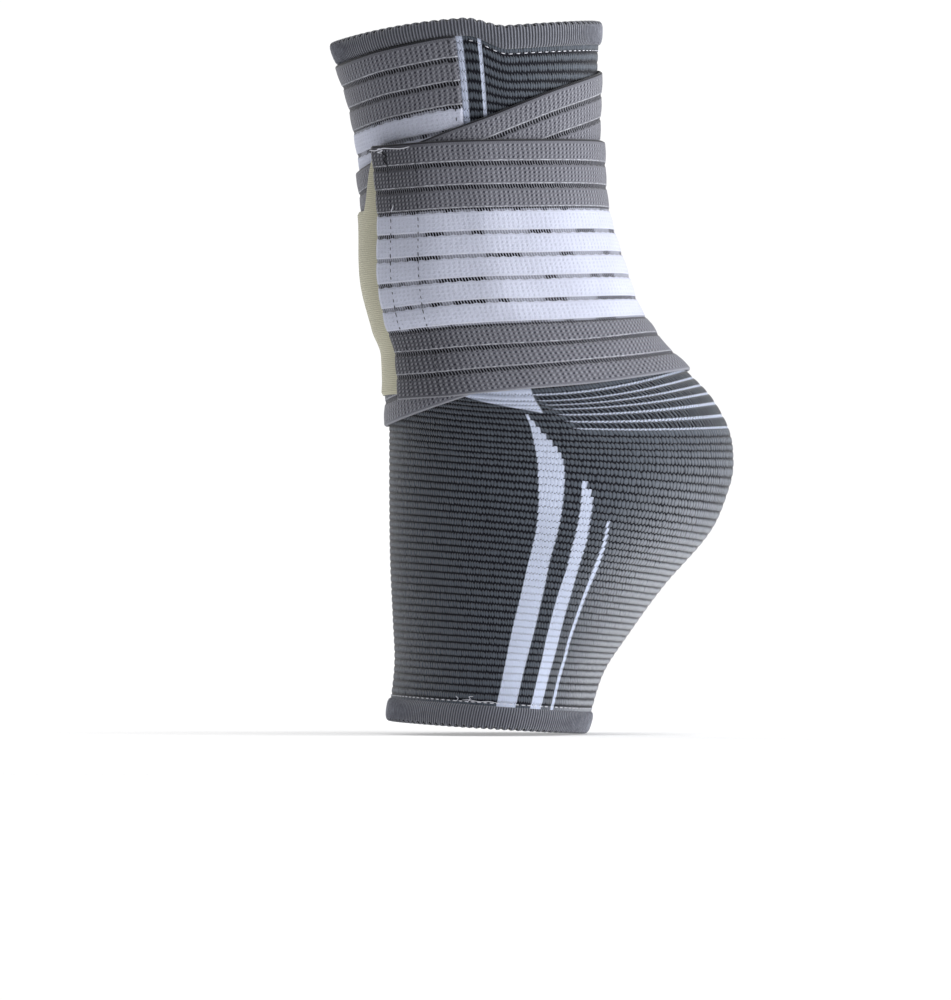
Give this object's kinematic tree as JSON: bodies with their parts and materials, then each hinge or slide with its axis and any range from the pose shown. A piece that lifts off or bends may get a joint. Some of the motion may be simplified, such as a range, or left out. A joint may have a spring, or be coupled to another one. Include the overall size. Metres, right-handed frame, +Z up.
{
  "type": "knitted ankle brace with a wrap strap",
  "caption": "Elastic knitted ankle brace with a closed heel, rolled cuffs, and a long elastic strap wound round the ankle that ends in a hook tab.",
  "frame": {"origin": "middle of the ankle inside the brace, where a wearer's or display ankle holds it", "axes": "+Z up the leg, +X towards the heel and back, -Y the near side with the strap's end"},
  "size_m": [0.1248, 0.0828, 0.2206],
  "materials": {
    "knit": "dark grey elastic knit with ribs across, white stripes and seven white heel lines",
    "cuff_rib": "fine vertical rib knit, rolled",
    "strap_elastic": "woven elastic in eleven bands, three grey, five white, three grey, with ladder grooves between",
    "tab_webbing": "khaki ribbed webbing"
  },
  "bodies": {
    "root": {"knit_sleeve": "knit", "leg_cuff": "cuff_rib", "foot_cuff": "cuff_rib", "wrap_strap": "strap_elastic", "hook_tab": "tab_webbing"}
  },
  "joints": []
}
